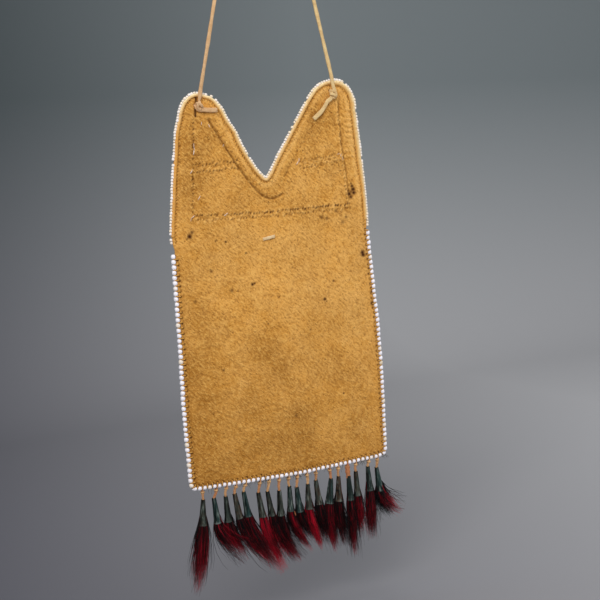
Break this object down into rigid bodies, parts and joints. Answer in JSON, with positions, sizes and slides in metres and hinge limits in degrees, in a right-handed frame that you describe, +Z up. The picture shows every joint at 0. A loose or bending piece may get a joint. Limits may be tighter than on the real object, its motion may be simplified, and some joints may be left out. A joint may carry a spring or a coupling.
{
  "type": "quilled bag",
  "caption": "Flat hide pouch with a notched two-horned back, beaded edges, quilled bands, a thong strap and tin-cone tinklers with dyed hair.",
  "frame": {"origin": "crown of the thong strap, where the pouch hangs", "axes": "+Z up along the hanging pouch, +X to the right as seen from the plain back, +Y towards the quilled front with the pocket"},
  "size_m": [0.1511, 0.0162, 0.4635],
  "materials": {
    "smoked_hide": "soft smoked suede",
    "front_hide": "soft smoked suede",
    "yoke_beads": "opaque white, polished",
    "seam_beads": "opaque white, polished",
    "strap_hide": "pale tanned thong",
    "thong_hide": "smoked thong",
    "tin": "dark weathered tin",
    "dyed_hair": "dyed animal hair"
  },
  "bodies": {
    "pouch": {"back_panel": "smoked_hide", "front_panel": "front_hide", "upper_bead_edging": "yoke_beads", "lower_bead_edging": "seam_beads", "strap": "strap_hide", "closure_thong": "strap_hide"},
    "tinkler_01": {"thong_01": "thong_hide", "tin_cone_01": "tin", "hair_tuft_01": "dyed_hair"},
    "tinkler_02": {"thong_02": "thong_hide", "tin_cone_02": "tin", "hair_tuft_02": "dyed_hair"},
    "tinkler_03": {"thong_03": "thong_hide", "tin_cone_03": "tin", "hair_tuft_03": "dyed_hair"},
    "tinkler_04": {"thong_04": "thong_hide", "tin_cone_04": "tin", "hair_tuft_04": "dyed_hair"},
    "tinkler_05": {"thong_05": "thong_hide", "tin_cone_05": "tin", "hair_tuft_05": "dyed_hair"},
    "tinkler_06": {"thong_06": "thong_hide", "tin_cone_06": "tin", "hair_tuft_06": "dyed_hair"},
    "tinkler_07": {"thong_07": "thong_hide", "tin_cone_07": "tin", "hair_tuft_07": "dyed_hair"},
    "tinkler_08": {"thong_08": "thong_hide", "tin_cone_08": "tin", "hair_tuft_08": "dyed_hair"},
    "tinkler_09": {"thong_09": "thong_hide", "tin_cone_09": "tin", "hair_tuft_09": "dyed_hair"},
    "tinkler_10": {"thong_10": "thong_hide", "tin_cone_10": "tin", "hair_tuft_10": "dyed_hair"},
    "tinkler_11": {"thong_11": "thong_hide", "tin_cone_11": "tin", "hair_tuft_11": "dyed_hair"},
    "tinkler_12": {"thong_12": "thong_hide", "tin_cone_12": "tin", "hair_tuft_12": "dyed_hair"},
    "tinkler_13": {"thong_13": "thong_hide", "tin_cone_13": "tin", "hair_tuft_13": "dyed_hair"},
    "tinkler_14": {"thong_14": "thong_hide", "tin_cone_14": "tin", "hair_tuft_14": "dyed_hair"},
    "tinkler_15": {"thong_15": "thong_hide", "tin_cone_15": "tin", "hair_tuft_15": "dyed_hair"},
    "tinkler_16": {"thong_16": "thong_hide", "tin_cone_16": "tin", "hair_tuft_16": "dyed_hair"},
    "tinkler_17": {"thong_17": "thong_hide", "tin_cone_17": "tin", "hair_tuft_17": "dyed_hair"},
    "tinkler_18": {"thong_18": "thong_hide", "tin_cone_18": "tin", "hair_tuft_18": "dyed_hair"}
  },
  "joints": [
    {"name": "tinkler_swing_01", "type": "hinge", "parent": "pouch", "child": "tinkler_01", "pos_m": [-0.07659, 0, -0.39322], "axis": [1, 0, 0], "range_deg": [-60, 60]},
    {"name": "tinkler_swing_02", "type": "hinge", "parent": "pouch", "child": "tinkler_02", "pos_m": [-0.06613, 0, -0.39352], "axis": [1, 0, 0], "range_deg": [-60, 60]},
    {"name": "tinkler_swing_03", "type": "hinge", "parent": "pouch", "child": "tinkler_03", "pos_m": [-0.05916, 0, -0.39372], "axis": [1, 0, 0], "range_deg": [-60, 60]},
    {"name": "tinkler_swing_04", "type": "hinge", "parent": "pouch", "child": "tinkler_04", "pos_m": [-0.05219, 0, -0.39392], "axis": [1, 0, 0], "range_deg": [-60, 60]},
    {"name": "tinkler_swing_05", "type": "hinge", "parent": "pouch", "child": "tinkler_05", "pos_m": [-0.04521, 0, -0.39411], "axis": [1, 0, 0], "range_deg": [-60, 60]},
    {"name": "tinkler_swing_06", "type": "hinge", "parent": "pouch", "child": "tinkler_06", "pos_m": [-0.03476, 0, -0.39441], "axis": [1, 0, 0], "range_deg": [-60, 60]},
    {"name": "tinkler_swing_07", "type": "hinge", "parent": "pouch", "child": "tinkler_07", "pos_m": [-0.02779, 0, -0.39461], "axis": [1, 0, 0], "range_deg": [-60, 60]},
    {"name": "tinkler_swing_08", "type": "hinge", "parent": "pouch", "child": "tinkler_08", "pos_m": [-0.02081, 0, -0.39481], "axis": [1, 0, 0], "range_deg": [-60, 60]},
    {"name": "tinkler_swing_09", "type": "hinge", "parent": "pouch", "child": "tinkler_09", "pos_m": [-0.01384, 0, -0.39501], "axis": [1, 0, 0], "range_deg": [-60, 60]},
    {"name": "tinkler_swing_10", "type": "hinge", "parent": "pouch", "child": "tinkler_10", "pos_m": [-0.00687, 0, -0.39515], "axis": [1, 0, 0], "range_deg": [-60, 60]},
    {"name": "tinkler_swing_11", "type": "hinge", "parent": "pouch", "child": "tinkler_11", "pos_m": [0.00011, 0, -0.3951], "axis": [1, 0, 0], "range_deg": [-60, 60]},
    {"name": "tinkler_swing_12", "type": "hinge", "parent": "pouch", "child": "tinkler_12", "pos_m": [0.00708, 0, -0.39491], "axis": [1, 0, 0], "range_deg": [-60, 60]},
    {"name": "tinkler_swing_13", "type": "hinge", "parent": "pouch", "child": "tinkler_13", "pos_m": [0.01754, 0, -0.39463], "axis": [1, 0, 0], "range_deg": [-60, 60]},
    {"name": "tinkler_swing_14", "type": "hinge", "parent": "pouch", "child": "tinkler_14", "pos_m": [0.02451, 0, -0.39444], "axis": [1, 0, 0], "range_deg": [-60, 60]},
    {"name": "tinkler_swing_15", "type": "hinge", "parent": "pouch", "child": "tinkler_15", "pos_m": [0.03148, 0, -0.39425], "axis": [1, 0, 0], "range_deg": [-60, 60]},
    {"name": "tinkler_swing_16", "type": "hinge", "parent": "pouch", "child": "tinkler_16", "pos_m": [0.03846, 0, -0.39406], "axis": [1, 0, 0], "range_deg": [-60, 60]},
    {"name": "tinkler_swing_17", "type": "hinge", "parent": "pouch", "child": "tinkler_17", "pos_m": [0.04892, 0, -0.39378], "axis": [1, 0, 0], "range_deg": [-60, 60]},
    {"name": "tinkler_swing_18", "type": "hinge", "parent": "pouch", "child": "tinkler_18", "pos_m": [0.05589, 0, -0.39359], "axis": [1, 0, 0], "range_deg": [-60, 60]}
  ]
}
